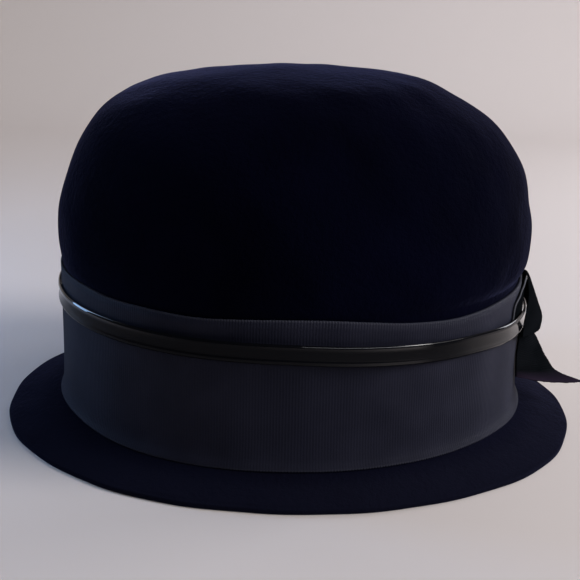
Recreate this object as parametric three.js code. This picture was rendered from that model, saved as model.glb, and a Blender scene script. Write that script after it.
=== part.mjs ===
// Cloche hat: a blocked felt crown and brim in one piece, a wide grosgrain hatband, a narrow
// patent strap round the band, and a ribbon bow tucked under the strap at the centre back.
// Millimetres, +Z up. The wearer faces -X, so the bow is at +X and the wearer's left is -Y.
// The hat rests on the cut edge of its brim at z = 0.
import * as THREE from 'three';
import { mergeVertices } from 'three/addons/utils/BufferGeometryUtils.js';

// Driving dimensions, millimetres
const FELT_WALL = 2.5;           // thickness of the blocked felt
const HEAD_HALF_LENGTH = 100.4;  // outside of the felt where crown turns into brim, front to back
const HEAD_HALF_WIDTH = 82.2;    // the same, side to side
const CROWN_HEIGHT = 138.3;      // from that turn to the top of the crown
const BRIM_DROP = 9.8;           // from that turn down to the surface the hat rests on
const BRIM_FRONT = 23.2;         // how far the brim reaches out past the crown in front
const BRIM_BACK = 22;            // at the back
const BRIM_SIDE = 15;            // at each side
const RIM_FLAT = 2.2;            // width of the flattened underside of the cut edge
const OVAL_POWER = 2.03;         // 2 is an ellipse, more is squarer

const RIBBON_WIDTH = 57.7;       // hatband, lower edge to upper edge
const RIBBON_WALL = 1.0;         // hatband thickness
const SEAT_GAP = 0.3;            // clearance between pieces that touch

const STRAP_WIDTH = 7.8;         // patent strap, lower edge to upper edge
const STRAP_WALL = 1.2;          // patent strap thickness
const STRAP_SLACK = 2.4;         // how far the strap stands off the hatband where it is loosest

const CLOTH_WALL = 1.0;          // bow ribbon thickness
const BOW_HALF_TURN = 26;        // degrees round the hat from centre back to the bow's outer edge
const LEFT_LOOP_RISE = 14.6;     // top fold of the left loop above the middle of the strap
const RIGHT_LOOP_RISE = 11.4;    // the same for the right loop, which sits lower
const LOOP_STAND = 10.4;         // how far a loop's outer layer stands off the hatband
const TAIL_DROP = 33.3;          // tip of a tail below the middle of the strap
const LEFT_TAIL_REACH = 31;      // how far the left tail's tip stands out behind the hatband
const RIGHT_TAIL_REACH = 12;     // the same for the right tail, which hangs closer
const TAIL_CUP = 2.2;            // how deep a tail is hollowed across its width
const TAIL_SAG = 1.6;            // how far the middle of its cut end hangs below the corners

const SEGMENTS = 64;             // points round the oval
const DOME_STEPS = 2;            // rings for each row of the dome table
const LOOP_STEPS = 2;            // rings for each row of a bow table
const STRIP_CELLS = 6;           // cells across a bow ribbon

// Felt under the hatband. up: share of the ribbon's width; front, back: shares of the head's
// half length; side: share of its half width.
const BAND_ZONE = [
  { up: 0.00, front: 1.000, back: 1.000, side: 1.000 },
  { up: 0.03, front: 0.992, back: 0.992, side: 0.992 },
  { up: 0.07, front: 0.983, back: 0.983, side: 0.983 },
  { up: 0.16, front: 0.975, back: 0.976, side: 0.975 },
  { up: 0.40, front: 0.969, back: 0.970, side: 0.969 },
  { up: 0.75, front: 0.965, back: 0.966, side: 0.965 },
  { up: 1.00, front: 0.963, back: 0.963, side: 0.963 },
];

// Felt above the hatband, where it swells over the ribbon and closes as a dome that is squarer
// in front. up: share of the height left above the ribbon; the other columns as above.
const DOME_ZONE = [
  { up: 0.056, front: 0.973, back: 0.988, side: 0.977 },
  { up: 0.142, front: 0.980, back: 0.997, side: 0.986 },
  { up: 0.245, front: 0.976, back: 0.996, side: 0.984 },
  { up: 0.348, front: 0.961, back: 0.979, side: 0.968 },
  { up: 0.554, front: 0.908, back: 0.932, side: 0.920 },
  { up: 0.743, front: 0.822, back: 0.816, side: 0.819 },
  { up: 0.880, front: 0.680, back: 0.645, side: 0.662 },
  { up: 0.966, front: 0.445, back: 0.455, side: 0.450 },
];

// Upper face of the brim. out: share of the brim's reach; up: share of the drop to the rim's
// upper edge.
const BRIM_ZONE = [
  { out: 0.00, up: 1.00 },
  { out: 0.07, up: 0.88 },
  { out: 0.20, up: 0.74 },
  { out: 0.45, up: 0.51 },
  { out: 0.75, up: 0.22 },
  { out: 1.00, up: 0.00 },
];

// The strap's turn round the hat. angle: degrees from centre back; up: share of the ribbon's
// width to the strap's middle; slack: share of the strap's slack; over: share of the bow's
// tucked thickness that it lies over.
const STRAP_TURN = [
  { angle: 0, up: 0.690, slack: 0.00, over: 1 },
  { angle: 30, up: 0.716, slack: 0.00, over: 1 },
  { angle: 45, up: 0.737, slack: 0.05, over: 0 },
  { angle: 60, up: 0.762, slack: 0.45, over: 0 },
  { angle: 75, up: 0.792, slack: 0.90, over: 0 },
  { angle: 90, up: 0.815, slack: 1.00, over: 0 },
  { angle: 114, up: 0.810, slack: 0.55, over: 0 },
  { angle: 135, up: 0.804, slack: 0.10, over: 0 },
  { angle: 180, up: 0.819, slack: 0.00, over: 0 },
];

// A loop of the bow: it comes up from under the strap, folds over at the top and hangs outside.
// side: the edge away from centre back; mid: the edge next to it. turn: share of the bow's half
// turn; up: share of the loop's rise; out: share of its stand-off.
const LOOP = [
  { side: { turn: 1.00, up: -0.10, out: 0.00 }, mid: { turn: 0.46, up: -0.14, out: 0.00 } },
  { side: { turn: 0.98, up: 0.34, out: 0.00 }, mid: { turn: 0.34, up: 0.34, out: 0.00 } },
  { side: { turn: 0.88, up: 0.76, out: 0.02 }, mid: { turn: 0.18, up: 0.72, out: 0.02 } },
  { side: { turn: 0.42, up: 0.99, out: 0.06 }, mid: { turn: 0.06, up: 0.92, out: 0.08 } },
  { side: { turn: 0.20, up: 1.01, out: 0.18 }, mid: { turn: 0.03, up: 0.98, out: 0.20 } },
  { side: { turn: 0.26, up: 0.86, out: 0.23 }, mid: { turn: 0.04, up: 0.84, out: 0.36 } },
  { side: { turn: 0.48, up: 0.54, out: 0.24 }, mid: { turn: 0.09, up: 0.54, out: 0.53 } },
  { side: { turn: 0.70, up: 0.18, out: 0.27 }, mid: { turn: 0.17, up: 0.16, out: 0.72 } },
  { side: { turn: 0.80, up: -0.10, out: 0.27 }, mid: { turn: 0.25, up: -0.20, out: 0.88 } },
  { side: { turn: 0.84, up: -0.32, out: 0.27 }, mid: { turn: 0.30, up: -0.56, out: 0.80 } },
];

// A tail of the bow: it drops from under the strap, and its outer edge flares away from the hat
// to a long tip. near: the edge along the hatband; far: the flaring edge. turn as above; down:
// share of the tail's drop; out: share of its reach.
const TAIL = [
  { near: { turn: 0.32, down: -0.04, out: 0.00 }, far: { turn: 0.05, down: -0.04, out: 0.00 } },
  { near: { turn: 0.42, down: 0.15, out: 0.00 }, far: { turn: 0.06, down: 0.15, out: 0.00 } },
  { near: { turn: 0.56, down: 0.28, out: 0.00 }, far: { turn: 0.12, down: 0.30, out: 0.18 } },
  { near: { turn: 0.62, down: 0.42, out: 0.00 }, far: { turn: 0.11, down: 0.50, out: 0.31 } },
  { near: { turn: 0.65, down: 0.56, out: 0.00 }, far: { turn: 0.10, down: 0.72, out: 0.43 } },
  { near: { turn: 0.65, down: 0.68, out: 0.00 }, far: { turn: 0.14, down: 0.90, out: 0.58 } },
  { near: { turn: 0.64, down: 0.77, out: 0.00 }, far: { turn: 0.20, down: 1.00, out: 0.95 } },
];

// Finishes
const FELT_COLOUR = 0x0b0d1e;
const RIBBON_COLOUR = 0x1b2030;
const PATENT_COLOUR = 0x15171b;
const BOW_COLOUR = 0x10131a;

// Point of a squared oval at an angle from +X, with its own reach forwards, backwards and sideways.
function ovalPoint(angle, front, back, side, height) {
  const along = Math.cos(angle);
  const across = Math.sin(angle);
  const x = Math.sign(along) * Math.abs(along) ** (2 / OVAL_POWER) * (along < 0 ? front : back);
  const y = Math.sign(across) * Math.abs(across) ** (2 / OVAL_POWER) * side;
  return new THREE.Vector3(x, y, height);
}

// One ring of points round the hat at a station, moved outwards by an offset.
function ovalRing(station, offset = 0) {
  const ring = [];
  for (let i = 0; i < SEGMENTS; i += 1) {
    const angle = (2 * Math.PI * i) / SEGMENTS;
    const { front, back, side, height } = station;
    ring.push(ovalPoint(angle, front + offset, back + offset, side + offset, height));
  }
  return ring;
}

// Smooth curve through a list of equal-sized number rows, read at a row number with a fraction.
function throughRows(rows, place) {
  const row = Math.min(Math.floor(place), rows.length - 2);
  const t = place - row;
  return rows[row].map((_, k) => {
    const b = rows[row][k];
    const c = rows[row + 1][k];
    const a = row > 0 ? rows[row - 1][k] : 2 * b - c;
    const d = row + 2 < rows.length ? rows[row + 2][k] : 2 * c - b;
    const bend = 2 * a - 5 * b + 4 * c - d;
    const turn = -a + 3 * b - 3 * c + d;
    return 0.5 * (2 * b + (c - a) * t + bend * t * t + turn * t * t * t);
  });
}

// Triangles over rings of equal length. Poles close the two ends, or the rings close on themselves.
function skin(rings, poles = null) {
  const count = rings[0].length;
  const points = rings.flat();
  const faces = [];
  const rows = poles ? rings.length - 1 : rings.length;
  for (let j = 0; j < rows; j += 1) {
    const low = j * count;
    const high = ((j + 1) % rings.length) * count;
    for (let i = 0; i < count; i += 1) {
      const next = (i + 1) % count;
      faces.push(low + i, high + i, high + next, low + i, high + next, low + next);
    }
  }
  if (poles) {
    const last = (rings.length - 1) * count;
    const [start, end] = [points.length, points.length + 1];
    points.push(...poles);
    for (let i = 0; i < count; i += 1) {
      const next = (i + 1) % count;
      faces.push(start, i, next, end, last + next, last + i);
    }
  }
  return meshGeometry(points, faces);
}

function meshGeometry(points, faces) {
  const geometry = new THREE.BufferGeometry();
  const numbers = points.flatMap((p) => [p.x, p.y, p.z]);
  geometry.setAttribute('position', new THREE.Float32BufferAttribute(numbers, 3));
  geometry.setIndex(faces);
  const merged = mergeVertices(geometry, 1e-5);
  merged.computeVertexNormals();
  return merged;
}

// A station of the felt's outer face from a row of its tables.
function feltStation(row, base, span) {
  return {
    front: HEAD_HALF_LENGTH * row.front,
    back: HEAD_HALF_LENGTH * row.back,
    side: HEAD_HALF_WIDTH * row.side,
    height: base + span * row.up,
  };
}
const bandTop = BRIM_DROP + RIBBON_WIDTH;
const crownTop = BRIM_DROP + CROWN_HEIGHT;
const bandStations = BAND_ZONE.map((row) => feltStation(row, BRIM_DROP, RIBBON_WIDTH));
const domeRise = crownTop - bandTop;
const domeRows = [bandStations.at(-1), ...DOME_ZONE.map((row) => feltStation(row, bandTop, domeRise))];

// The dome's rows with the top of the crown and a mirrored row past it, so it closes level.
function domeStations() {
  const rows = domeRows.map((s) => [s.front, s.back, s.side, s.height]);
  const last = rows.at(-1);
  const closed = [...rows, [0, 0, 0, crownTop], [-last[0], -last[1], -last[2], last[3]]];
  const stations = [];
  for (let step = 1; step < rows.length * DOME_STEPS; step += 1) {
    const [front, back, side, height] = throughRows(closed, step / DOME_STEPS);
    stations.push({ front, back, side, height });
  }
  return stations;
}

// The same station on the inner face: the wall's thickness is taken off its length, width and
// height above the brim's underside.
function innerStation(s) {
  const shrink = (reach, full) => reach * (1 - FELT_WALL / full);
  return {
    front: shrink(s.front, HEAD_HALF_LENGTH),
    back: shrink(s.back, HEAD_HALF_LENGTH),
    side: shrink(s.side, HEAD_HALF_WIDTH),
    height: BRIM_DROP + (s.height - BRIM_DROP) * (1 - FELT_WALL / CROWN_HEIGHT),
  };
}

// A station on the brim at a share of its reach.
function brimStation(out, height, inset = 0) {
  return {
    front: HEAD_HALF_LENGTH + BRIM_FRONT * out - inset,
    back: HEAD_HALF_LENGTH + BRIM_BACK * out - inset,
    side: HEAD_HALF_WIDTH + BRIM_SIDE * out - inset,
    height,
  };
}

// Crown and brim: one wall of felt, from the top down over the brim, round the cut edge and back
// up inside.
function feltGeometry() {
  const outer = [...bandStations, ...domeStations()].reverse();
  const slope = BRIM_DROP - FELT_WALL;
  const upper = BRIM_ZONE.slice(1).map(({ out, up }) => brimStation(out, FELT_WALL + slope * up));
  const edge = [brimStation(1, 0), brimStation(1, 0, RIM_FLAT)];
  const under = BRIM_ZONE.slice(1, -1).reverse();
  const lower = under.map(({ out, up }) => brimStation(out, slope * up, RIM_FLAT * out));
  const inner = [...bandStations.slice(2), ...domeStations()].map(innerStation);
  const rings = [...outer, ...upper, ...edge, ...lower, ...inner].map((s) => ovalRing(s));
  const top = new THREE.Vector3(0, 0, crownTop);
  const underTop = new THREE.Vector3(0, 0, crownTop - FELT_WALL);
  return skin(rings, [top, underTop]);
}

// The hatband follows the felt from its flared lower edge to its upper edge.
function hatbandGeometry() {
  const inside = bandStations.map((s) => ovalRing(s, SEAT_GAP));
  const outside = bandStations.map((s) => ovalRing(s, SEAT_GAP + RIBBON_WALL));
  return skin([...outside.reverse(), ...inside]);
}

// Half lengths and half width of the hatband's outer face at a height.
function hatbandFace(height) {
  let k = 1;
  while (k < bandStations.length - 1 && bandStations[k].height < height) k += 1;
  const [low, high] = [bandStations[k - 1], bandStations[k]];
  const t = Math.min(Math.max((height - low.height) / (high.height - low.height), 0), 1);
  const face = (key) => low[key] + (high[key] - low[key]) * t + SEAT_GAP + RIBBON_WALL;
  return { front: face('front'), back: face('back'), side: face('side') };
}

// Point off the hatband's outer face at an angle, height and distance outwards.
function offHatband(angle, height, out) {
  const { front, back, side } = hatbandFace(height);
  return ovalPoint(angle, front + out, back + out, side + out, height);
}

// The strap's middle height and its stand-off at an angle, the same on both sides of the hat.
function strapAt(angle) {
  const degrees = Math.abs(THREE.MathUtils.radToDeg(Math.atan2(Math.sin(angle), Math.cos(angle))));
  let k = 1;
  while (k < STRAP_TURN.length - 1 && STRAP_TURN[k].angle < degrees) k += 1;
  const t = (degrees - STRAP_TURN[k - 1].angle) / (STRAP_TURN[k].angle - STRAP_TURN[k - 1].angle);
  const rows = STRAP_TURN.map(({ up, slack, over }) => [up, slack, over]);
  const [up, slack, over] = throughRows(rows, k - 1 + t);
  const bow = Math.min(Math.max(over, 0), 1) * (SEAT_GAP + CLOTH_WALL);
  const stand = SEAT_GAP + bow + Math.max(slack, 0) * STRAP_SLACK;
  return { height: BRIM_DROP + RIBBON_WIDTH * up, stand };
}

// The strap is a flat band with eased edges that lies over the bow's tucked ends at the back.
function strapGeometry() {
  const half = STRAP_WIDTH / 2;
  const ease = STRAP_WALL / 3;
  const section = [
    [0, half - ease], [ease, half], [STRAP_WALL - ease, half], [STRAP_WALL, half - ease],
    [STRAP_WALL, ease - half], [STRAP_WALL - ease, -half], [ease, -half], [0, ease - half],
  ];
  const rings = section.map(([out, up]) => {
    const ring = [];
    for (let i = 0; i < SEGMENTS; i += 1) {
      const angle = (2 * Math.PI * i) / SEGMENTS;
      const { height, stand } = strapAt(angle);
      const middle = offHatband(angle, height, stand + out);
      ring.push(new THREE.Vector3(middle.x, middle.y, height + up));
    }
    return ring;
  });
  return skin(rings);
}

// A ribbon strip of even thickness between two edges. Its rings run round the strip's section,
// over one face and back along the other.
function stripGeometry(pointAt, steps) {
  const count = STRIP_CELLS + 1;
  const delta = 1e-3;
  const grid = [];
  for (let j = 0; j <= steps; j += 1) {
    const near = [];
    const far = [];
    for (let i = 0; i < count; i += 1) {
      const [u, v] = [j / steps, i / STRIP_CELLS];
      const along = pointAt(Math.min(u + delta, 1), v).sub(pointAt(Math.max(u - delta, 0), v));
      const across = pointAt(u, Math.min(v + delta, 1)).sub(pointAt(u, Math.max(v - delta, 0)));
      const normal = across.cross(along).normalize().multiplyScalar(CLOTH_WALL / 2);
      near.push(pointAt(u, v).add(normal));
      far.unshift(pointAt(u, v).sub(normal));
    }
    grid.push([...near, ...far]);
  }
  const ringLength = 2 * count;
  const faces = [];
  for (let j = 0; j < steps; j += 1) {
    for (let i = 0; i < ringLength; i += 1) {
      const [a, b] = [j * ringLength + i, j * ringLength + ((i + 1) % ringLength)];
      faces.push(a, b, b + ringLength, a, b + ringLength, a + ringLength);
    }
  }
  const last = steps * ringLength;
  for (let i = 0; i < STRIP_CELLS; i += 1) {
    const [a, b, c, d] = [i, i + 1, ringLength - 2 - i, ringLength - 1 - i];
    faces.push(a, d, c, a, c, b, last + a, last + b, last + c, last + a, last + c, last + d);
  }
  return meshGeometry(grid.flat(), faces);
}

const strapMiddle = BRIM_DROP + RIBBON_WIDTH * STRAP_TURN[0].up;
const tuck = SEAT_GAP + CLOTH_WALL / 2;
const bowTurn = THREE.MathUtils.degToRad(BOW_HALF_TURN);

// Surface of a loop of its own rise: u runs along the ribbon, v from its side edge to its mid edge.
function loopSurface(rise) {
  const rows = LOOP.map(({ side, mid }) => [side.turn, side.up, side.out, mid.turn, mid.up, mid.out]);
  const mix = THREE.MathUtils.lerp;
  return (u, v) => {
    const [t0, up0, out0, t1, up1, out1] = throughRows(rows, u * (rows.length - 1));
    const out = tuck + Math.max(mix(out0, out1, v), 0) * LOOP_STAND;
    return offHatband(-bowTurn * mix(t0, t1, v), strapMiddle + rise * mix(up0, up1, v), out);
  };
}
const leftLoop = loopSurface(LEFT_LOOP_RISE);
const rightLoop = loopSurface(RIGHT_LOOP_RISE);

// Surface of a tail of its own reach: u runs down the ribbon, v from the edge on the hatband to
// the flaring edge.
function tailSurface(reach) {
  const rows = TAIL.map(({ near, far }) => [near.turn, near.down, near.out, far.turn, far.down, far.out]);
  const mix = THREE.MathUtils.lerp;
  return (u, v) => {
    const [t0, down0, out0, t1, down1, out1] = throughRows(rows, u * (rows.length - 1));
    const hollow = TAIL_CUP * Math.sin(Math.PI * v) * u * u;
    const out = tuck + Math.max(mix(out0, out1, v), 0) * reach;
    const sag = TAIL_SAG * Math.sin(Math.PI * v) * u * u;
    const height = strapMiddle - TAIL_DROP * mix(down0, down1, v) - sag;
    return offHatband(-bowTurn * mix(t0, t1, v), height, out).add(new THREE.Vector3(0, hollow, 0));
  };
}
const leftTail = tailSurface(LEFT_TAIL_REACH);
const rightTail = tailSurface(RIGHT_TAIL_REACH);

// The same strip on the other side of the hat. The section is walked the other way so that its
// faces still point out.
function mirrored(pointAt) {
  return (u, v) => {
    const point = pointAt(u, 1 - v);
    return new THREE.Vector3(point.x, -point.y, point.z);
  };
}

function piece(name, geometry, color, roughness) {
  const mesh = new THREE.Mesh(geometry, new THREE.MeshStandardMaterial({ color, roughness, metalness: 0 }));
  mesh.name = name;
  return mesh;
}

// The hat's origin is under the middle of its whole length, from the brim's front edge to the
// farther of the brim's back edge and the tips of the tails.
const frontReach = HEAD_HALF_LENGTH + BRIM_FRONT;
const tipReach = Math.max(leftTail(1, 1).x, rightTail(1, 1).x);
const backReach = Math.max(HEAD_HALF_LENGTH + BRIM_BACK, tipReach);

const hat = new THREE.Group();
hat.position.x = (frontReach - backReach) / 2;
hat.add(piece('felt_body', feltGeometry(), FELT_COLOUR, 0.95));
hat.add(piece('hatband', hatbandGeometry(), RIBBON_COLOUR, 0.75));
hat.add(piece('strap', strapGeometry(), PATENT_COLOUR, 0.2));
const loopSteps = (LOOP.length - 1) * LOOP_STEPS;
const tailSteps = (TAIL.length - 1) * LOOP_STEPS;
hat.add(piece('bow_loop_left', stripGeometry(leftLoop, loopSteps), BOW_COLOUR, 0.8));
hat.add(piece('bow_loop_right', stripGeometry(mirrored(rightLoop), loopSteps), BOW_COLOUR, 0.8));
hat.add(piece('bow_tail_left', stripGeometry(leftTail, tailSteps), BOW_COLOUR, 0.8));
hat.add(piece('bow_tail_right', stripGeometry(mirrored(rightTail), tailSteps), BOW_COLOUR, 0.8));

export default hat;
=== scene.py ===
# %% [markdown]
# # A cloche hat in velour felt
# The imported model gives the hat's true size: one blocked felt, a wide ribbon, a narrow patent
# strap and a small bow. This lesson works each of them out again as a fine surface, sits it where
# its plain solid is, and gives it a finish. Everything is in metres, +Z up, with the bow at +X.

# %% Load the frame
import bpy
import numpy as np
from mathutils import Matrix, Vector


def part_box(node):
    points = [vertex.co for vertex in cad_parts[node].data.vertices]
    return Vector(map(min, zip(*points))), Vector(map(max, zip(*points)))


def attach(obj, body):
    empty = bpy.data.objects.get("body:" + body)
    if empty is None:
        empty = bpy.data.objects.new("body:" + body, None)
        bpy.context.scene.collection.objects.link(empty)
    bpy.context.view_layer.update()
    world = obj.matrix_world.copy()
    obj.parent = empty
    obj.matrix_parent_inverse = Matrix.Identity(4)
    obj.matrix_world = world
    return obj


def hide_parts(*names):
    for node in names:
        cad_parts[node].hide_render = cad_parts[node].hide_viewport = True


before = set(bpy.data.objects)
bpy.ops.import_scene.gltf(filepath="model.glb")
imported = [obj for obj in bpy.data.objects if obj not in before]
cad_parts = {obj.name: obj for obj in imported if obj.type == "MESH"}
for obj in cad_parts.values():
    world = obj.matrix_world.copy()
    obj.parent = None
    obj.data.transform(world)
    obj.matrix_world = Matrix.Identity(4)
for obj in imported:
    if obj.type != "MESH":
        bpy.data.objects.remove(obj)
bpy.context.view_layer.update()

# %% [markdown]
# ## Sizes
# A hatter thinks in a head size, a crown height and three brim widths. The same few sizes drive
# every surface here, and the tables below only hold shares of them, so one change stays in step.
# The shares began as a fit to the outlines in the photograph and were then changed.

# %% Sizes of the hat
MM = 0.001
FELT_WALL = 2.5 * MM
HEAD_HALF_LENGTH = 100.4 * MM
HEAD_HALF_WIDTH = 82.2 * MM
CROWN_HEIGHT = 138.3 * MM
BRIM_DROP = 9.8 * MM
BRIM_FRONT, BRIM_BACK, BRIM_SIDE = 23.2 * MM, 22.0 * MM, 15.0 * MM
RIM_FLAT = 2.2 * MM
RIM_ROUND = 0.8 * MM
OVAL_POWER = 2.03
RIBBON_WIDTH, RIBBON_WALL = 57.7 * MM, 1.0 * MM
SEAT_GAP = 0.3 * MM
STRAP_WIDTH, STRAP_WALL, STRAP_SLACK = 7.8 * MM, 1.2 * MM, 2.4 * MM
CLOTH_WALL = 1.0 * MM
BOW_HALF_TURN = np.radians(26)
LEFT_LOOP_RISE, RIGHT_LOOP_RISE, LOOP_STAND = 14.6 * MM, 11.4 * MM, 10.4 * MM
TAIL_DROP, TAIL_CUP, TAIL_SAG = 33.3 * MM, 2.2 * MM, 1.6 * MM
LEFT_TAIL_REACH, RIGHT_TAIL_REACH = 31.0 * MM, 12.0 * MM

felt_low, felt_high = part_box("felt_body")
MIDDLE = felt_low.x + BRIM_FRONT + HEAD_HALF_LENGTH
BAND_TOP = BRIM_DROP + RIBBON_WIDTH
CROWN_TOP = felt_high.z
print(f"crown: axis at x = {MIDDLE * 1000:.2f} mm, top at z = {CROWN_TOP * 1000:.1f} mm")

# %% Tables of shares, with their columns named
BAND_ROWS = np.array([  # up, front, back, side
    (0.00, 1.000, 1.000, 1.000), (0.03, 0.992, 0.992, 0.992), (0.07, 0.983, 0.983, 0.983),
    (0.16, 0.975, 0.976, 0.975), (0.40, 0.969, 0.970, 0.969), (0.75, 0.965, 0.966, 0.965),
    (1.00, 0.963, 0.963, 0.963)])
DOME_ROWS = np.array([  # up, front, back, side
    (0.000, 0.963, 0.963, 0.963), (0.056, 0.973, 0.988, 0.977), (0.142, 0.980, 0.997, 0.986),
    (0.245, 0.976, 0.996, 0.984), (0.348, 0.961, 0.979, 0.968), (0.554, 0.908, 0.932, 0.920),
    (0.743, 0.822, 0.816, 0.819), (0.880, 0.680, 0.645, 0.662), (0.966, 0.445, 0.455, 0.450),
    (1.000, 0.000, 0.000, 0.000), (0.966, -0.445, -0.455, -0.450)])
BRIM_ROWS = np.array([  # out, up
    (0.00, 1.00), (0.07, 0.88), (0.20, 0.74), (0.45, 0.51), (0.75, 0.22), (1.00, 0.00)])
STRAP_ROWS = np.array([  # degrees from centre back, up, slack, over the bow
    (0, 0.690, 0.00, 1), (30, 0.716, 0.00, 1), (45, 0.737, 0.05, 0), (60, 0.762, 0.45, 0),
    (75, 0.792, 0.90, 0), (90, 0.815, 1.00, 0), (114, 0.810, 0.55, 0), (135, 0.804, 0.10, 0),
    (180, 0.819, 0.00, 0)])

# %% [markdown]
# ## Curves and ovals
# A blocked hat has no straight line in plan, so each ring is a slightly squared oval. Subdivision
# of a coarse cage would also round it, but a formula keeps every ring on its true size. The rows
# of a table are joined by a Catmull-Rom curve, which passes through each of them.


# %% Smooth curves through tables
def through_rows(rows, place):
    """Catmull-Rom: between rows b and c, with a before and d after, a cubic that leaves b along
    c - a and arrives at c along d - b. The ends are carried on in a straight line."""
    rows = np.asarray(rows, float)
    carried = np.concatenate([2 * rows[:1] - rows[1:2], rows, 2 * rows[-1:] - rows[-2:-1]])
    place = np.asarray(place, float)
    k = np.clip(np.floor(place).astype(int), 0, len(rows) - 2)
    t = (place - k)[..., None]
    a, b, c, d = carried[k], carried[k + 1], carried[k + 2], carried[k + 3]
    bend, turn = 2 * a - 5 * b + 4 * c - d, -a + 3 * b - 3 * c + d
    return 0.5 * (2 * b + (c - a) * t + bend * t**2 + turn * t**3)


def from_back(angle):
    """Degrees from centre back, alike on both sides of the hat."""
    return np.degrees(np.abs(np.arctan2(np.sin(angle), np.cos(angle))))


def by_angle(table, angle):
    """A table's columns at an angle, where its first column is degrees from centre back."""
    place = np.interp(from_back(angle), table[:, 0], np.arange(len(table)))
    return np.moveaxis(through_rows(table[:, 1:], place), -1, 0)


def squared(wave, power):
    """A cosine or sine with its size raised to a power: under one, the round turns squarer."""
    return np.sign(wave) * np.abs(wave) ** power


def oval(angle, front, back, side):
    """x and y on a squared oval: cosine and sine to the power 2/OVAL_POWER, times the reach."""
    along, across = np.cos(angle), np.sin(angle)
    x = squared(along, 2 / OVAL_POWER) * np.where(along < 0, front, back)
    return MIDDLE + x, squared(across, 2 / OVAL_POWER) * side


def rings(stations, angles):
    """One oval ring for each station (front, back, side, height): an array (station, angle, 3)."""
    front, back, side, height = (column[:, None] for column in stations.T)
    x, y = oval(angles[None, :], front, back, side)
    return np.stack([x, y, np.broadcast_to(height, x.shape)], axis=-1)


def felt_stations(rows, base, span, places):
    """Stations up the outer face of the felt, from a table's shares."""
    up, front, back, side = through_rows(rows, places).T
    reach = [front * HEAD_HALF_LENGTH, back * HEAD_HALF_LENGTH, side * HEAD_HALF_WIDTH]
    return np.stack([*reach, base + span * up], axis=1)


# %% [markdown]
# ## From arrays to a mesh
# `from_pydata` takes lists of points and faces. A grid of points needs one quad for each cell,
# worked out at once with index arrays. The loops' UVs are set in the same order, with u running
# on past the seam, so a rib never stretches back round the hat.


# %% Grid to mesh
def grid_mesh(name, grid, uv=None, poles=None, wrap_rows=False, ends=False):
    """A mesh over a grid (row, column, 3) whose columns close on themselves. poles close the first
    and last row with a fan, ends closes them as the two ends of a flat strip, and wrap_rows
    joins the last row to the first."""
    rows, columns = grid.shape[:2]
    row_steps = rows if wrap_rows else rows - 1
    j, i = np.meshgrid(np.arange(row_steps), np.arange(columns), indexing="ij")
    j, i = j.ravel(), i.ravel()
    j2, i2 = j + 1, i + 1
    corner_rows, corner_columns = np.stack([j, j2, j2, j], 1), np.stack([i, i, i2, i2], 1)
    quads = (corner_rows % rows) * columns + corner_columns % columns
    points, faces = grid.reshape(-1, 3), quads.tolist()
    loop_uv = None if uv is None else [uv[corner_rows, corner_columns].reshape(-1, 2)]
    last = (rows - 1) * columns
    if poles is not None:
        near, far = len(points), len(points) + 1
        points = np.concatenate([points, poles])
        k = np.arange(columns)
        k2 = (k + 1) % columns
        faces += np.stack([np.full(columns, near), k, k2], 1).tolist()
        faces += np.stack([np.full(columns, far), last + k2, last + k], 1).tolist()
    if ends:
        k = np.arange(columns // 2 - 1)
        cap = np.stack([k, k + 1, columns - 2 - k, columns - 1 - k], 1)
        faces += cap.tolist() + (last + cap[:, ::-1]).tolist()
        if uv is not None:
            loop_uv += [uv[0, cap].reshape(-1, 2), uv[-1, cap[:, ::-1]].reshape(-1, 2)]
    mesh = bpy.data.meshes.new(name)
    mesh.from_pydata(points.tolist(), [], faces)
    if uv is not None:
        layer = mesh.uv_layers.new(name="UVMap")
        layer.data.foreach_set("uv", np.concatenate(loop_uv).astype(np.float32).ravel())
    mesh.polygons.foreach_set("use_smooth", np.ones(len(faces), bool))
    mesh.update()
    obj = bpy.data.objects.new(name, mesh)
    bpy.context.scene.collection.objects.link(obj)
    return obj


def normals_of(grid, wrap=True):
    """Unit normals of a grid: the cross product of its two directions."""
    closed = np.concatenate([grid[:, -1:], grid, grid[:, :1]], 1) if wrap else grid
    across = np.gradient(closed, axis=1)
    across = across[:, 1:-1] if wrap else across
    along = np.gradient(grid, axis=0)
    normal = np.cross(along, across)
    return normal / np.maximum(np.linalg.norm(normal, axis=-1, keepdims=True), 1e-12)


WAVES = 7


def gentle(points, size, seed):
    """Low unevenness, seldom past 1 either way: twice the mean of a few sine waves of about that
    length, in seeded directions."""
    rng = np.random.default_rng(seed)
    ways = rng.normal(size=(WAVES, 3))
    ways /= np.linalg.norm(ways, axis=1, keepdims=True)
    lengths = size * rng.uniform(0.7, 1.4, WAVES)
    steps = (ways / lengths[:, None] * 2 * np.pi).T
    return np.sin(points @ steps + rng.uniform(0, 6.3, WAVES)).mean(-1) * 2


def dress(obj, node, material):
    """Has a finished surface ride on the hat, stand for its solid and wear its material."""
    obj.data.materials.append(material)
    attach(obj, "root")
    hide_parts(node)
    print(f"{obj.name}: {len(obj.data.vertices)} points, {len(obj.data.polygons)} faces")


# %% [markdown]
# ## Node groups
# There is one group for each cloth. Felt nap is fine noise at two scales for its height, with
# upright brushed streaks and a broad mottle as masks. Grosgrain is a cosine across each rib, with
# a fine sine for the thread that crosses it, and a patchy wear. Each group is built once and gives
# out only heights and masks, and the materials turn those into colour.


# %% Build node groups
VECTOR, FLOAT = "NodeSocketVector", "NodeSocketFloat"


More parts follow.
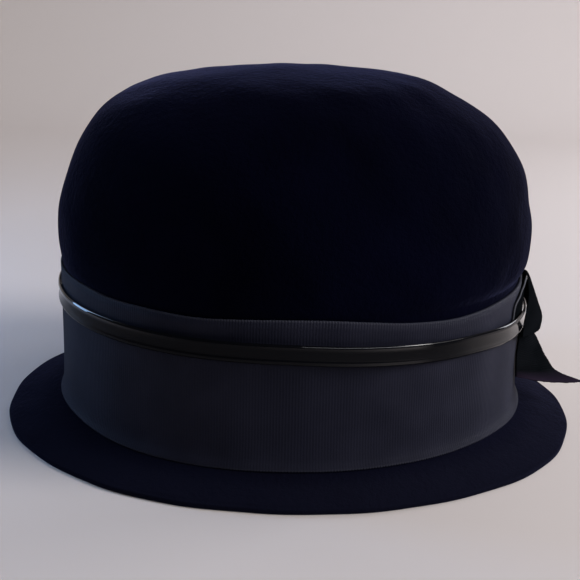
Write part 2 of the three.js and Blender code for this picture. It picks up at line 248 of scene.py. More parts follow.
def new_group(name, inputs, outputs):
    """A shader node group with named sockets. Inputs are (name, kind, value)."""
    tree = bpy.data.node_groups.new(name, "ShaderNodeTree")
    for label, kind, value in inputs:
        socket = tree.interface.new_socket(label, in_out="INPUT", socket_type=kind)
        if value is not None:
            socket.default_value = value
    for label in outputs:
        tree.interface.new_socket(label, in_out="OUTPUT", socket_type=FLOAT)
    return tree, tree.nodes.new("NodeGroupInput"), tree.nodes.new("NodeGroupOutput")


def node(tree, kind, **settings):
    """A node with its settings; a setting that names an input is put on that input."""
    made = tree.nodes.new(kind)
    for key, value in settings.items():
        if key in made.inputs:
            made.inputs[key].default_value = value
        else:
            setattr(made, key, value)
    return made


def math(tree, operation, first, second=0.0):
    """A Math node on one or two values, each a number or a socket."""
    made = node(tree, "ShaderNodeMath", operation=operation)
    for socket, value in zip(made.inputs, (first, second)):
        if isinstance(value, (int, float)):
            socket.default_value = value
        else:
            tree.links.new(value, socket)
    return made.outputs[0]


def noise(tree, vector, scale, detail=2.0, roughness=0.5):
    """A Noise texture's value on a vector."""
    made = node(tree, "ShaderNodeTexNoise", Scale=scale, Detail=detail, Roughness=roughness)
    tree.links.new(vector, made.inputs["Vector"])
    return made.outputs["Fac"]


FIBRES, CLUMPS, STREAKS, MOTTLE = 1500.0, 420.0, 70.0, 14.0  # waves to the metre
UPRIGHT = (1.0, 1.0, 0.35)  # scales a place, so that what is made there stands upright

nap_group, nap_in, nap_out = new_group(
    "felt_nap", [("Vector", VECTOR, None)], ["Height", "Brushed", "Mottle"])
fibres = noise(nap_group, nap_in.outputs["Vector"], FIBRES, 3.0, 0.6)
clumps = noise(nap_group, nap_in.outputs["Vector"], CLUMPS)
stretch = node(nap_group, "ShaderNodeVectorMath", operation="MULTIPLY")
stretch.inputs[1].default_value = UPRIGHT
nap_group.links.new(nap_in.outputs["Vector"], stretch.inputs[0])
brushed = noise(nap_group, stretch.outputs[0], STREAKS, 3.0)
mottle = noise(nap_group, nap_in.outputs["Vector"], MOTTLE, 3.0)
height = math(nap_group, "ADD", math(nap_group, "MULTIPLY", fibres, 0.6), clumps)
nap_group.links.new(height, nap_out.inputs["Height"])
nap_group.links.new(brushed, nap_out.inputs["Brushed"])
nap_group.links.new(mottle, nap_out.inputs["Mottle"])

RIB_PITCH = 1.0 * MM
THREAD_PITCH = 0.32 * MM
SLUBS, WEAR = 900.0, 60.0  # waves to the metre

rib_group, rib_in, rib_out = new_group(
    "grosgrain", [("Vector", VECTOR, None), ("Rib Pitch", FLOAT, RIB_PITCH)],
    ["Height", "Rib", "Wear"])
split = node(rib_group, "ShaderNodeSeparateXYZ")
rib_group.links.new(rib_in.outputs["Vector"], split.inputs[0])
ribs = math(rib_group, "DIVIDE", split.outputs["X"], rib_in.outputs["Rib Pitch"])
rib = math(rib_group, "COSINE", math(rib_group, "MULTIPLY", ribs, 2 * np.pi))
thread = math(rib_group, "MULTIPLY", split.outputs["Y"], 2 * np.pi / THREAD_PITCH)
shift = math(rib_group, "MULTIPLY", math(rib_group, "FLOOR", ribs), np.pi)
thread = math(rib_group, "SINE", math(rib_group, "ADD", thread, shift))
slub = noise(rib_group, rib_in.outputs["Vector"], SLUBS)
height = math(rib_group, "ADD", math(rib_group, "MULTIPLY", thread, 0.25), slub)
height = math(rib_group, "ADD", height, math(rib_group, "MULTIPLY", rib, 0.35))
wear = noise(rib_group, rib_in.outputs["Vector"], WEAR, 4.0)
rib_group.links.new(height, rib_out.inputs["Height"])
rib_group.links.new(rib, rib_out.inputs["Rib"])
rib_group.links.new(wear, rib_out.inputs["Wear"])
print("node groups:", [g.name for g in bpy.data.node_groups])


# %% Material helpers
def new_material(name, color, roughness, coordinates="Object", **sockets):
    """A Principled material with its plain numbers on its own sockets, and its coordinates."""
    material = bpy.data.materials.new(name)
    material.use_nodes = True
    material.diffuse_color = (*color, 1)
    tree = material.node_tree
    shader = tree.nodes["Principled BSDF"]
    shader.inputs["Base Color"].default_value = (*color, 1)
    shader.inputs["Roughness"].default_value = roughness
    for label, value in sockets.items():
        shader.inputs[label.replace("_", " ")].default_value = value
    place = tree.nodes.new("ShaderNodeTexCoord").outputs[coordinates]
    return material, tree, shader, place


def use_group(tree, group, place):
    """A copy of a node group in a material, fed with the material's coordinates."""
    made = node(tree, "ShaderNodeGroup", node_tree=group)
    tree.links.new(place, made.inputs["Vector"])
    return made


def parts_of(tree, vector):
    """A vector's X, Y and Z, as the outputs of one node."""
    made = node(tree, "ShaderNodeSeparateXYZ")
    tree.links.new(vector, made.inputs[0])
    return made.outputs


def mix_colors(tree, factor, first, second):
    """A colour between two by a mask."""
    made = node(tree, "ShaderNodeMix", data_type="RGBA")
    tree.links.new(factor, made.inputs[0])
    for socket, value in zip((made.inputs[6], made.inputs[7]), (first, second)):
        if isinstance(value, tuple):
            socket.default_value = (*value, 1)
        else:
            tree.links.new(value, socket)
    return made.outputs[2]


def ramp(tree, factor, low, high, out_low=0.0, out_high=1.0):
    """Map Range: low to high becomes out_low to out_high, held at both ends."""
    made = node(tree, "ShaderNodeMapRange")
    tree.links.new(factor, made.inputs["Value"])
    numbers = {"From Min": low, "From Max": high, "To Min": out_low, "To Max": out_high}
    for label, value in numbers.items():
        made.inputs[label].default_value = value
    return made.outputs["Result"]


def bump(tree, shader, height, distance, strength=1.0):
    """Feeds a height to the shader's normal."""
    made = node(tree, "ShaderNodeBump", Strength=strength, Distance=distance)
    tree.links.new(height, made.inputs["Height"])
    tree.links.new(made.outputs["Normal"], shader.inputs["Normal"])


# %% [markdown]
# ## Velour felt
# Velour is felt whose surface has been brushed up and shorn, so light goes in and little comes
# out: seen straight on it is nearly black, and at a glancing angle its fibre tips glow. A dark
# base with sheen gives that. Its colour drifts between two navies where the nap lies differently,
# and the brim is painted a little greyer: painted light, for the light that falls on it.

# %% Felt material
FELT_DEEP, FELT_NAP = (0.0005, 0.0006, 0.0030), (0.0011, 0.0013, 0.0062)
# Painted light: the felt is painted greyer on the brim, below a height, for the light falling on
# it.
BRIM_PAINTED_LIGHT, BRIM_LIT_LOW, BRIM_LIT_HIGH = (0.0044, 0.0047, 0.0108), 6 * MM, 12 * MM
NAP_DEPTH = 0.35 * MM
felt, tree, shader, place = new_material(
    "velour_felt", FELT_NAP, 0.95, Sheen_Weight=0.12, Sheen_Roughness=0.25,
    Sheen_Tint=(0.42, 0.46, 1.0, 1), Specular_IOR_Level=0.01)
nap = use_group(tree, nap_group, place)
drift = ramp(tree, nap.outputs["Mottle"], 0.35, 0.65)
streaks = ramp(tree, nap.outputs["Brushed"], 0.35, 0.75, 0.0, 0.5)
tone = mix_colors(tree, streaks, mix_colors(tree, drift, FELT_DEEP, FELT_NAP), FELT_NAP)
# Painted light: fades in the lighter brim colour from the brim's top height down to its lower one.
brim_lit_mask = ramp(tree, parts_of(tree, place)["Z"], BRIM_LIT_HIGH, BRIM_LIT_LOW)
tree.links.new(mix_colors(tree, brim_lit_mask, tone, BRIM_PAINTED_LIGHT), shader.inputs["Base Color"])
bump(tree, shader, nap.outputs["Height"], NAP_DEPTH)

# %% [markdown]
# ## The felt body
# Crown and brim are one piece of felt. The surface starts at the top of the crown, runs down the
# outside and over the brim, round the cut edge, and back up the inside: two parameters, the place
# along that line and the angle round the head. The inside is the same line with the wall taken off.

# %% Felt profile
DOME_PLACES = np.linspace(0, 8.94, 76)  # stops just short of the pole
BAND_PLACES = np.linspace(0, 6, 15)
band_line = felt_stations(BAND_ROWS, BRIM_DROP, RIBBON_WIDTH, BAND_PLACES)
dome_line = felt_stations(DOME_ROWS, BAND_TOP, CROWN_TOP - BAND_TOP, DOME_PLACES)


def inner(stations):
    """The wall's thickness taken off length, width and height, as a share of the whole hat's."""
    full = np.array([HEAD_HALF_LENGTH, HEAD_HALF_LENGTH, HEAD_HALF_WIDTH, CROWN_HEIGHT])
    floor = np.array([0, 0, 0, BRIM_DROP])
    return floor + (stations - floor) * (1 - FELT_WALL / full)


def brim_stations(out, height, inset):
    """Stations on the brim at shares of its reach, pulled in by an inset."""
    out, height, inset = np.broadcast_arrays(out, height, inset)
    reach = [HEAD_HALF_LENGTH + BRIM_FRONT * out, HEAD_HALF_LENGTH + BRIM_BACK * out]
    reach.append(HEAD_HALF_WIDTH + BRIM_SIDE * out)
    return np.stack([*(r - inset for r in reach), height], axis=1)


RIM_SHARPNESS = 8  # how late the upper face starts to pull in to the rounded edge
slope = BRIM_DROP - FELT_WALL
out_share, up_share = through_rows(BRIM_ROWS, np.linspace(0, 5, 26)).T
quarter = np.linspace(0, np.pi / 2, 5)
upper = brim_stations(
    out_share[1:], FELT_WALL + slope * up_share[1:], RIM_ROUND * out_share[1:] ** RIM_SHARPNESS)
over_edge = brim_stations(
    1.0, FELT_WALL - RIM_ROUND * (1 - np.cos(quarter[1:])), RIM_ROUND * (1 - np.sin(quarter[1:])))
under_edge = brim_stations(
    1.0, RIM_ROUND * (1 - np.sin(quarter)), RIM_ROUND * (1 - np.cos(quarter)))
under = brim_stations(out_share[-1:0:-1], slope * up_share[-1:0:-1], RIM_FLAT * out_share[-1:0:-1])
profile = np.concatenate([
    dome_line[::-1], band_line[-2::-1], upper, over_edge, under_edge, under,
    inner(band_line[2:]), inner(dome_line[1:])])
outside = len(dome_line) + len(band_line) - 1 + len(upper)
print(len(profile), "rings in the felt's profile")

# %% [markdown]
# A hand-blocked felt is never quite even, and its brim is cut by hand, so the crown gets a low
# swell of a few tenths of a millimetre and the cut edge strays a few millimetres from the oval.
# Both fade out under the ribbon, where the felt has to stay on its size.

# %% Felt surface
FELT_COLUMNS = 400
CROWN_SWELL, BRIM_SWELL = 0.55 * MM, 0.35 * MM
CROWN_FADE, BRIM_FADE = 6 * MM, 4 * MM
BROAD_SWELL, FINE_SWELL, FINE_SHARE = 55 * MM, 17 * MM, 0.35
TRIM_SOFTENING, TRIM_POWER = 9, 1.6  # columns to each side; how late the brim starts to stray
SNIPS = ((0.25, 9, 1.1), (0.16, 23, 0.4))  # millimetres, waves round the brim, start
TRIM_ROWS = np.array([  # degrees from +X towards +Y, trim in millimetres
    (-180, 0.0), (-120, 0.5), (-75, 0.3), (-55, 1.6), (-35, 2.8), (-15, 1.6), (0, -0.4),
    (20, -2.8), (40, -4.6), (65, -2.6), (100, 0.0), (145, 1.4), (165, 0.6), (180, 0.0)])

felt_angles = np.linspace(0, 2 * np.pi, FELT_COLUMNS, endpoint=False)
felt_grid = rings(profile, felt_angles)
felt_normal = normals_of(felt_grid)
heights = profile[:, 3]
turned = np.degrees(np.arctan2(np.sin(felt_angles), np.cos(felt_angles)))
trim = np.interp(turned, *TRIM_ROWS.T)
shifts = range(-TRIM_SOFTENING, TRIM_SOFTENING + 1)
trim = sum(np.roll(trim, shift) for shift in shifts) / len(shifts)
snips = sum(size * np.sin(waves * felt_angles + start) for size, waves, start in SNIPS)
brim_share = np.clip((profile[:, 2] - HEAD_HALF_WIDTH) / BRIM_SIDE, 0, 1) ** TRIM_POWER
away = np.stack([np.cos(felt_angles), np.sin(felt_angles), 0 * felt_angles], 1)
felt_grid += (brim_share[:, None] * (trim + snips) * MM)[..., None] * away[None]
on_crown = np.clip((heights - BAND_TOP) / CROWN_FADE, 0, 1)
on_brim = np.clip((profile[:, 2] - HEAD_HALF_WIDTH) / BRIM_FADE, 0, 1) * (heights > FELT_WALL)
swell = gentle(felt_grid, BROAD_SWELL, 4) + FINE_SHARE * gentle(felt_grid, FINE_SWELL, 5)
depth = CROWN_SWELL * on_crown + BRIM_SWELL * on_brim
depth[outside:] = 0
felt_grid += felt_normal * (depth[:, None] * swell)[..., None]
poles = np.array([(MIDDLE, 0, CROWN_TOP), (MIDDLE, 0, CROWN_TOP - FELT_WALL)])
poles[:, 2] += [felt_grid[0, :, 2].mean() - profile[0, 3], 0]
dress(grid_mesh("velour_felt_body", felt_grid, poles=poles), "felt_body", felt)

# %% [markdown]
# ## Grosgrain ribbon
# Grosgrain has stout cross ribs, about one to the millimetre, and a selvage of tiny loops where
# the thread turns back. On the hatband the ribs stand upright. They are real here: the distance
# from the felt is a cosine of the angle, and a bump adds only the threads that cross each rib.

# %% Ribbon material
RIBBON_DARK, RIBBON_FACE = (0.0066, 0.0072, 0.0150), (0.0130, 0.0136, 0.0250)
# Painted highlight: the ribbon's edges are painted lighter, for the light the picots catch.
SELVAGE_HIGHLIGHT, SELVAGE_DEPTH = (0.030, 0.031, 0.044), 0.7 * MM
WEAVE_DEPTH = 0.12 * MM


def ribbon_material(name, dark, face, edge, width, bend, gloss, frayed=None):
    """Grosgrain whose u runs along the ribbon and v across it, from 0 to its width. bend is the
    strength of its bump, gloss that of its sheen and shine. frayed gives where a cut end starts
    and finishes to fade, and the colour of its bare threads."""
    material, tree, shader, place = new_material(
        name, face, 0.62, "UV", Sheen_Weight=0.35 * gloss, Sheen_Roughness=0.4,
        Sheen_Tint=(0.60, 0.68, 1.0, 1), Specular_IOR_Level=gloss)
    weave = use_group(tree, rib_group, place)
    cloth = mix_colors(tree, ramp(tree, weave.outputs["Wear"], 0.3, 0.7), dark, face)
    # Painted shade: the grooves between the ribs are painted darker, towards the dark colour.
    ribbed = mix_colors(tree, ramp(tree, weave.outputs["Rib"], -1, 1, 0.4, 1.0), dark, cloth)
    split = parts_of(tree, place)
    from_middle = math(tree, "ABSOLUTE", math(tree, "SUBTRACT", split["Y"], width / 2))
    # Painted highlight: a lighter colour in a band along both edges of the ribbon.
    edge_highlight_mask = ramp(tree, from_middle, width / 2 - SELVAGE_DEPTH, width / 2)
    color = mix_colors(tree, edge_highlight_mask, ribbed, edge)
    if frayed:
        start, end, thread_color = frayed
        color = mix_colors(tree, ramp(tree, split["X"], start, end), color, thread_color)
    tree.links.new(color, shader.inputs["Base Color"])
    bump(tree, shader, weave.outputs["Height"], WEAVE_DEPTH, bend)
    return material


band_cloth = ribbon_material(
    "grosgrain", RIBBON_DARK, RIBBON_FACE, SELVAGE_HIGHLIGHT, RIBBON_WIDTH, bend=0.5, gloss=0.08)

# %% Hatband surface
RIB_DEPTH, PICOT = 0.040 * MM, 0.22 * MM
RUMPLE, RUMPLE_LENGTH = 0.22 * MM, 26 * MM
BAND_SHARE = 0.97  # of the head's half length and width, the mean of the felt under the ribbon
COLUMNS_PER_RIB = 4
HIDDEN_ROWS = [-1, -2, 12, 6, 3, 1, 0]  # a few rows are enough against the felt
EDGE_ROWS = np.array([  # degrees from centre back, lift of the upper and of the lower edge in mm
    (0, -1.4, 0.0), (21, -2.0, -0.3), (33, -2.4, 0.3), (44, -3.2, 0.4), (52, -3.4, 0.3),
    (59, -2.7, 0.2), (65, -1.9, 0.2), (72, -0.6, 0.1), (81, 0.7, 0.0), (90, 1.0, 0.0),
    (100, 0.4, -0.3), (110, -0.4, -0.5), (124, 0.0, -0.4), (135, 0.2, 0.3), (142, 0.9, 1.0),
    (150, 1.4, 1.7), (165, 1.2, 1.9), (180, 1.0, 1.8)])

mean_reach = BAND_SHARE * (HEAD_HALF_LENGTH + HEAD_HALF_WIDTH) / 2 + SEAT_GAP + RIBBON_WALL
squash = (HEAD_HALF_LENGTH - HEAD_HALF_WIDTH) / (HEAD_HALF_LENGTH + HEAD_HALF_WIDTH)
ribbon_length = 2 * np.pi * mean_reach * (1 + squash**2 / 4)
rib_count = round(ribbon_length / RIB_PITCH)
band_angles = np.linspace(0, 2 * np.pi, rib_count * COLUMNS_PER_RIB, endpoint=False)
fine_places = np.concatenate([np.linspace(0, 3, 13)[:-1], np.linspace(3, 6, 14)])
fine_band = felt_stations(BAND_ROWS, BRIM_DROP, RIBBON_WIDTH, fine_places)
lift_top, lift_low = by_angle(EDGE_ROWS, band_angles) * MM
rib_wave = np.cos(rib_count * band_angles)


def band_face(height):
    """Front, back and side reaches of the hatband's outer face at a height."""
    reaches = (np.interp(height, fine_band[:, 3], column) for column in fine_band.T[:3])
    return [reach + SEAT_GAP + RIBBON_WALL for reach in reaches]


def off_band(angle, height, out):
    """Point off the hatband's outer face at an angle, a height and a distance outwards."""
    front, back, side = band_face(height)
    x, y = oval(angle, front + out, back + out, side + out)
    return np.stack(np.broadcast_arrays(x, y, height), axis=-1)


def band_layer(out, ribbed):
    """One face of the ribbon: lower to upper edge, each column lifted at its own two edges.
    ribbed is 1 for ribs and picots, 0 for none."""
    share = ((fine_band[:, 3] - BRIM_DROP) / RIBBON_WIDTH)[:, None]
    picots = PICOT * rib_wave * ribbed
    height = fine_band[:, 3:] + share * (lift_top + picots)
    height = height + (1 - share) * (lift_low - picots)
    near = off_band(band_angles[None, :], height, 0.0)
    rumple = RUMPLE * np.sin(np.pi * share) * gentle(near * UPRIGHT, RUMPLE_LENGTH, 8)
    return off_band(band_angles[None, :], height, out + rumple + RIB_DEPTH * rib_wave * ribbed)


outer_face, inner_face = band_layer(0.0, 1.0), band_layer(-RIBBON_WALL, 0.0)
band_grid = np.concatenate([outer_face, inner_face[HIDDEN_ROWS]])
band_u = np.linspace(0, rib_count * RIB_PITCH, band_grid.shape[1] + 1)
face_v = fine_band[:, 3] - BRIM_DROP
band_v = np.concatenate([face_v, face_v[HIDDEN_ROWS], face_v[:1]])
band_uv = np.stack(np.broadcast_arrays(band_u[None, :], band_v[:, None]), axis=-1)
hatband = grid_mesh("grosgrain_hatband", band_grid[:, ::-1], uv=band_uv[:, ::-1], wrap_rows=True)
dress(hatband, "hatband", band_cloth)
print(f"hatband ribbon {ribbon_length * 1000:.0f} mm long, {rib_count} ribs")

# %% [markdown]
# ## Patent strap
# The strap is patent leather folded to a narrow band with a rolled edge above and below. A glossy
# black surface shows little but its reflections, so its section matters more than its colour: two
# round rolls catch a thin line of light each, and the flat between them mirrors the room. Its shine
# comes and goes in the photograph, from wear or from the room there, and the two can't be told
# apart. So a table gives the polish round the hat for the upper roll, the flat and the
# lower roll. It is carried in the UV's second number and sets the weight of the clear coat.

# %% Patent material
PATENT_BLACK = (0.0022, 0.0024, 0.0036)
HAZE, HAZE_CLEAR, HAZE_DULL = 60.0, 0.10, 0.22
RIPPLE, RIPPLE_DEPTH = 160.0, 0.10 * MM
patent, tree, shader, place = new_material(
    "patent", PATENT_BLACK, 0.2, Coat_Roughness=0.05, Specular_IOR_Level=0.03)
polish_place = tree.nodes.new("ShaderNodeTexCoord").outputs["UV"]
tree.links.new(parts_of(tree, polish_place)["Y"], shader.inputs["Coat Weight"])
ripple = noise(tree, place, RIPPLE)
haze = ramp(tree, noise(tree, place, HAZE, 4.0), 0.35, 0.7, HAZE_CLEAR, HAZE_DULL)
tree.links.new(haze, shader.inputs["Roughness"])
bump(tree, shader, ripple, RIPPLE_DEPTH, 0.5)

# %% Strap surface
STRAP_COLUMNS, STRAP_SECTION = 720, 36
HEIGHT_POWER, DEPTH_POWER = 0.55, 0.35  # how square the section is
ROLL_PLACE, ROLL_WIDTH, DISH = 0.74, 0.24, 0.32
ROLL_START, ROLL_FADE = 0.50, 0.18
POLISH_ROWS = np.array([  # degrees from centre back, polish of the upper roll, flat and lower roll
    (0, 0.50, 0.95, 0.90), (29, 0.34, 0.86, 0.84), (38, 0.42, 0.68, 0.70), (45, 0.30, 0.34, 0.34),
    (51, 0.03, 0.12, 0.12), (58, 0.03, 0.08, 0.12), (62, 0.90, 0.10, 0.50), (68, 1.00, 0.10, 0.60),
    (76, 0.46, 0.10, 0.36), (84, 0.28, 0.09, 0.18), (90, 0.22, 0.08, 0.12), (96, 0.12, 0.08, 0.10),
    (112, 0.08, 0.08, 0.08), (126, 0.35, 0.08, 0.08), (138, 0.90, 0.10, 0.10),
    (180, 1.00, 0.20, 0.20)])

strap_angles = np.linspace(0, 2 * np.pi, STRAP_COLUMNS, endpoint=False)
up, slack, over = by_angle(STRAP_ROWS, strap_angles)
stand = SEAT_GAP + np.clip(over, 0, 1) * (SEAT_GAP + CLOTH_WALL)
stand = stand + np.maximum(slack, 0) * STRAP_SLACK
strap_height = BRIM_DROP + RIBBON_WIDTH * up

section_turn = np.linspace(0, 2 * np.pi, STRAP_SECTION, endpoint=False)
section_up = squared(np.sin(section_turn), HEIGHT_POWER)
section_out = 0.5 + 0.5 * squared(np.cos(section_turn), DEPTH_POWER)
roll = np.exp(-(((np.abs(section_up) - ROLL_PLACE) / ROLL_WIDTH) ** 2))
section_out = section_out * np.where(section_out > 0.5, 1 - DISH + DISH * roll, 1)
strap_out = stand + section_out[:, None] * STRAP_WALL
strap_grid = off_band(strap_angles[None, :], strap_height[None, :], strap_out)
strap_grid[..., 2] += section_up[:, None] * STRAP_WIDTH / 2

section_shut = np.append(section_up, section_up[0])[:, None]
on_roll = np.clip((np.abs(section_shut) - ROLL_START) / ROLL_FADE, 0, 1)
upper, flat, lower = by_angle(POLISH_ROWS, np.append(strap_angles, strap_angles[0]))
polish = np.clip(flat + on_roll * (np.where(section_shut > 0, upper, lower) - flat), 0, 1)
strap_u = np.linspace(0, 1, STRAP_COLUMNS + 1)[None, :]
strap_uv = np.stack(np.broadcast_arrays(strap_u, polish), axis=-1)
strap = grid_mesh("patent_strap", strap_grid[:, ::-1], uv=strap_uv[:, ::-1], wrap_rows=True)
dress(strap, "strap", patent)

# %% [markdown]
# ## The bow
# Two loops and two tails of dark ribbon are tucked under the strap. A ribbon strip is a surface
# between two edges: u runs along it, v across it. Both edges come from short tables of turn, rise
# and stand-off, and half the cloth's thickness is laid off on each side along the normal.

# %% Bow ribbon material
BOW_DARK, BOW_FACE = (0.0016, 0.0020, 0.0026), (0.0062, 0.0070, 0.0086)
# Painted highlight: the bow ribbon's edge is painted far lighter than its face.
BOW_EDGE_HIGHLIGHT = (0.080, 0.082, 0.096)
BOW_RIBBON_WIDTH = 18 * MM
BOW_THREADS = (33 * MM, 44 * MM, (0.020, 0.014, 0.026))  # start, end, colour
bow_look = (BOW_DARK, BOW_FACE, BOW_EDGE_HIGHLIGHT, BOW_RIBBON_WIDTH)
bow_cloth = ribbon_material("bow_grosgrain", *bow_look, bend=0.8, gloss=0.0)
tail_cloth = ribbon_material(
    "bow_tail_grosgrain", *bow_look, bend=0.8, gloss=0.0, frayed=BOW_THREADS)

# %% Bow tables
LOOP_ROWS = np.array([  # side edge turn, up, out, then middle edge turn, up, out
    (1.00, -0.10, 0.00, 0.46, -0.14, 0.00), (0.98, 0.34, 0.00, 0.34, 0.34, 0.00),
    (0.88, 0.76, 0.02, 0.18, 0.72, 0.02), (0.42, 0.99, 0.06, 0.06, 0.92, 0.08),
    (0.20, 1.01, 0.18, 0.03, 0.98, 0.20), (0.26, 0.86, 0.23, 0.04, 0.84, 0.36),
    (0.48, 0.54, 0.24, 0.09, 0.54, 0.53), (0.70, 0.18, 0.27, 0.17, 0.16, 0.72),
    (0.80, -0.10, 0.27, 0.25, -0.20, 0.88), (0.84, -0.32, 0.27, 0.30, -0.56, 0.80)])
TAIL_ROWS = np.array([  # near edge turn, down, out, then far edge turn, down, out
    (0.32, -0.04, 0.00, 0.05, -0.04, 0.00), (0.42, 0.15, 0.00, 0.06, 0.15, 0.00),
    (0.56, 0.28, 0.00, 0.12, 0.30, 0.18), (0.62, 0.42, 0.00, 0.11, 0.50, 0.31),
    (0.65, 0.56, 0.00, 0.10, 0.72, 0.43), (0.65, 0.68, 0.00, 0.14, 0.90, 0.58),
    (0.64, 0.77, 0.00, 0.20, 1.00, 0.95)])
STRAP_MIDDLE = BRIM_DROP + RIBBON_WIDTH * STRAP_ROWS[0, 1]
TUCK = SEAT_GAP + CLOTH_WALL / 2
BOW_WALL = 0.7 * MM


def between_edges(table, u, v):
    """A strip table's turn, rise and stand-off at shares u of its length and v of its width."""
    edges = np.moveaxis(through_rows(table, u * (len(table) - 1)), -1, 0)
    return edges[:3] + (edges[3:] - edges[:3]) * v


def loop_surface(rise):
    """A loop of its own rise: up from under the strap, over at the top and down outside. v is 0 at
    the side edge."""
    def surface(u, v):
        turn, up, out = between_edges(LOOP_ROWS, u, v)
        out = TUCK + np.maximum(out, 0) * LOOP_STAND
        return off_band(-BOW_HALF_TURN * turn, STRAP_MIDDLE + rise * up, out)
    return surface


def tail_surface(reach):
    """A tail of its own reach: down from under the strap, with its far edge flaring out and its
    cut end hanging lowest in the middle."""
    def surface(u, v):
        turn, down, out = between_edges(TAIL_ROWS, u, v)
        bulge = np.sin(np.pi * v) * u * u
        out = TUCK + np.maximum(out, 0) * reach
        low = STRAP_MIDDLE - TAIL_DROP * down - TAIL_SAG * bulge
        point = off_band(-BOW_HALF_TURN * turn, low, out)
        return point + np.stack([0 * bulge, TAIL_CUP * bulge, 0 * bulge], axis=-1)
    return surface


# %% Ribbon strips
STRIP_ROWS, STRIP_COLUMNS = 120, 48
END_FRAY, EDGE_FRAY = 0.012, 0.03
CURL, CURL_LENGTH = 0.25 * MM, 14 * MM
# Shares of the length up to which the loops' and the tails' edge highlight is painted.
LOOP_LIT_EDGE_END, TAIL_LIT_EDGE_END, LIT_EDGE_FADE = 0.34, -0.1, 0.08  # under zero: hidden all along


def strip(name, surface, side, seed, lit_edge_end):
    """A ribbon strip of even thickness on the left (1) or right (-1). Its end and the edge at v = 1
    are cut and frayed: each row and column stops a random share short. The edge at v = 0 has a
    painted highlight up to the share lit_edge_end of its length, and none from there on."""
    rng = np.random.default_rng(seed)
    row_share, column_share = np.linspace(0, 1, STRIP_ROWS), np.linspace(0, 1, STRIP_COLUMNS)
    u, v = np.meshgrid(row_share, column_share, indexing="ij")
    fray, worn = rng.uniform(0, 1, STRIP_COLUMNS), rng.uniform(0, 1, STRIP_ROWS)[:, None] ** 3
    u = np.clip(u * (1 - END_FRAY * fray * u**12), 0, 1)
    v = v * (1 - EDGE_FRAY * worn * np.sin(np.pi * u) ** 0.5)
    middle = surface(u, v)
    normal = normals_of(middle, wrap=False)
    length = np.linalg.norm(np.diff(middle[:, STRIP_COLUMNS // 2], axis=0), axis=-1).cumsum()
    length = np.concatenate([[0], length])
    cells = np.cross(np.diff(middle, axis=0)[:, :-1], np.diff(middle, axis=1)[:-1])
    width = np.linalg.norm(cells, axis=-1).sum() / length[-1]
    curl = CURL * gentle(middle, CURL_LENGTH, seed) * np.sin(np.pi * u) ** 0.5
    middle = middle + normal * curl[..., None]
    half = normal * BOW_WALL / 2
    grid = np.concatenate([middle + half, (middle - half)[:, ::-1]], axis=1)
    across = column_share * (BOW_RIBBON_WIDTH - 2 * SELVAGE_DEPTH)
    across = np.concatenate([across, across[::-1], across[:1]])
    # Painted highlight: past lit_edge_end the UV moves across, so the lighter edge band leaves the
    # strip.
    edge_unlit = np.interp(row_share, [lit_edge_end, lit_edge_end + LIT_EDGE_FADE], [0, 1])
    across = across[None, :] + SELVAGE_DEPTH * edge_unlit[:, None]
    uv = np.stack(np.broadcast_arrays(length[:, None], across), axis=-1)
    grid[..., 1] *= side
    if side < 0:
        grid, uv = grid[::-1], uv[::-1]
    obj = grid_mesh(name, grid, uv=uv, ends=True)
    print(f"{name}: {length[-1] * 1000:.0f} mm long, {width * 1000:.0f} mm wide")
    return obj, (float(width), float(length[-1]))


for name, surface, side, cad_node, seed in (
    ("ribbon_loop_left", loop_surface(LEFT_LOOP_RISE), 1, "bow_loop_left", 21),
    ("ribbon_loop_right", loop_surface(RIGHT_LOOP_RISE), -1, "bow_loop_right", 22),
    ("ribbon_tail_left", tail_surface(LEFT_TAIL_REACH), 1, "bow_tail_left", 23),
    ("ribbon_tail_right", tail_surface(RIGHT_TAIL_REACH), -1, "bow_tail_right", 24),
):
    looped = "loop" in name
    piece, flat = strip(name, surface, side, seed, LOOP_LIT_EDGE_END if looped else TAIL_LIT_EDGE_END)
    dress(piece, cad_node, bow_cloth if looped else tail_cloth)

# %% [markdown]
# ## Stage and light
# The hat rests on a pale floor that curves up into a backdrop, so no line crosses the picture.
# The backdrop stands far enough off for a camera to go right round the hat in front of it.
# A broad warm light from the right and a cool one from the left leave the side that faces the
# camera darkest, which is what lets the nap and the ribbon's curve show. A small light behind on
# the right draws the edge of the crown, a long thin one in front puts the bright line on the
# strap's upper roll, one behind on the left lifts the paper, and a faint one stands overhead. The
# room lights the hat dimly, but the camera sees it pale, so the view past the paper is plain too.

# %% Floor and backdrop
FLOOR_COLOR = (0.57, 0.525, 0.51)
COVE_FRONT, COVE_BACK, COVE_RADIUS, COVE_TOP, COVE_HALF = -2.4, 0.92, 0.25, 1.8, 2.6
bend_turn = np.linspace(0, np.pi / 2, 17)
bend_y = COVE_BACK - COVE_RADIUS + COVE_RADIUS * np.sin(bend_turn)
bend_z = COVE_RADIUS * (1 - np.cos(bend_turn))
cove_y = np.concatenate([[COVE_FRONT], bend_y, [COVE_BACK]])
cove_z = np.concatenate([[0], bend_z, [COVE_TOP]])
cove_x = np.array([-COVE_HALF, COVE_HALF])
cove_grid = np.broadcast_arrays(cove_x[None, :], cove_y[:, None], cove_z[:, None])
cove_points = np.stack(cove_grid, axis=-1).reshape(-1, 3)
row_starts = 2 * np.arange(len(cove_y) - 1)
cove_faces = np.stack([row_starts, row_starts + 1, row_starts + 3, row_starts + 2], 1)
cove_mesh = bpy.data.meshes.new("backdrop")
cove_mesh.from_pydata(cove_points.tolist(), [], cove_faces.tolist())
cove_mesh.polygons.foreach_set("use_smooth", np.ones(len(cove_faces), bool))
cove = bpy.data.objects.new("backdrop", cove_mesh)
bpy.context.scene.collection.objects.link(cove)
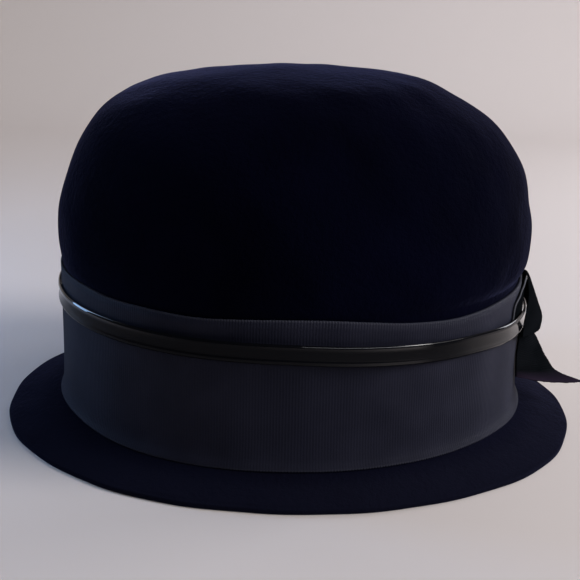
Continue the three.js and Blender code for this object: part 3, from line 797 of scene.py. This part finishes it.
cove_mesh.materials.append(new_material("backdrop_paper", FLOOR_COLOR, 0.9)[0])


# %% Lights
def aim(place, target):
    """A light's matrix: at a place, its -Z towards the target."""
    place, target = np.array(place, float), np.array(target, float)
    back = (place - target) / np.linalg.norm(place - target)
    side = np.cross((0, 0, 1), back)
    side /= np.linalg.norm(side)
    turn = np.stack([side, np.cross(back, side), back], axis=1)
    matrix = np.eye(4)
    matrix[:3, :3], matrix[:3, 3] = turn, place
    return Matrix(matrix.tolist())


HAT_MIDDLE, FLOOR_BEHIND = (0.0, 0.0, 0.07), (-0.45, 0.75, 0.0)
LIGHTS = {  # place, what it is aimed at, size, watts, colour
    "key_right": ((2.02, -0.46, 1.38), HAT_MIDDLE, (0.9, 1.1), 56.5, (1.0, 0.96, 0.95)),
    "rim_right": ((0.78, 0.30, 0.26), HAT_MIDDLE, (0.3, 0.3), 3.8, (0.90, 0.92, 1.0)),
    "back_left": ((-0.85, 0.75, 0.95), FLOOR_BEHIND, (0.5, 0.5), 1.65, (0.98, 0.98, 1.0)),
    "fill_left": ((-0.46, 0.08, 0.20), HAT_MIDDLE, (0.12, 0.36), 1.1, (0.34, 0.58, 1.0)),
    "top_back": ((0.15, 0.30, 1.25), HAT_MIDDLE, (0.8, 0.5), 0.3, (0.97, 0.96, 1.0)),
    "strip_front": ((0.62, -0.92, 0.66), HAT_MIDDLE, (1.2, 0.06), 3.4, (0.94, 0.95, 1.0)),
}
for name, (spot, target, size, power, color) in LIGHTS.items():
    data = bpy.data.lights.new(name, "AREA")
    data.shape, data.size, data.size_y = "RECTANGLE", *size
    data.energy, data.color = power, color
    lamp = bpy.data.objects.new(name, data)
    lamp.matrix_world = aim(spot, target)
    bpy.context.scene.collection.objects.link(lamp)

ROOM_COLOR, ROOM_STRENGTH = (0.9, 0.93, 1.0, 1), 0.07
SEEN_COLOR = (0.56, 0.51, 0.50, 1)
world = bpy.data.worlds.new("room")
world.use_nodes = True
room = world.node_tree
dim = room.nodes["Background"]
dim.inputs["Color"].default_value = ROOM_COLOR
dim.inputs["Strength"].default_value = ROOM_STRENGTH
pale = node(room, "ShaderNodeBackground", Color=SEEN_COLOR, Strength=1.0)
seen = node(room, "ShaderNodeMixShader")
room.links.new(room.nodes.new("ShaderNodeLightPath").outputs["Is Camera Ray"], seen.inputs["Fac"])
room.links.new(dim.outputs[0], seen.inputs[1])
room.links.new(pale.outputs[0], seen.inputs[2])
room.links.new(seen.outputs[0], room.nodes["World Output"].inputs["Surface"])
bpy.context.scene.world = world
bpy.context.scene.view_settings.view_transform = "Standard"

# %% [markdown]
# ## Camera
# The camera stands at the wearer's left, a forearm away and a little above the crown's middle,
# looking slightly down, with the small tilt a hand-held picture has.

# %% Camera
EYE = (MIDDLE - 0.465 * MM, -408.26 * MM, 193.28 * MM)
LOOK_DOWN, ROLL, LENS = 0.332, 0.021, 61.32
camera_data = bpy.data.cameras.new("camera")
camera_data.lens, camera_data.sensor_width, camera_data.clip_start = LENS, 36.0, 0.01
camera = bpy.data.objects.new("camera", camera_data)
turn = Matrix.Rotation(np.pi / 2 - LOOK_DOWN, 4, "X") @ Matrix.Rotation(ROLL, 4, "Z")
camera.matrix_world = Matrix.Translation(EYE) @ turn
bpy.context.scene.collection.objects.link(camera)
bpy.context.scene.camera = camera
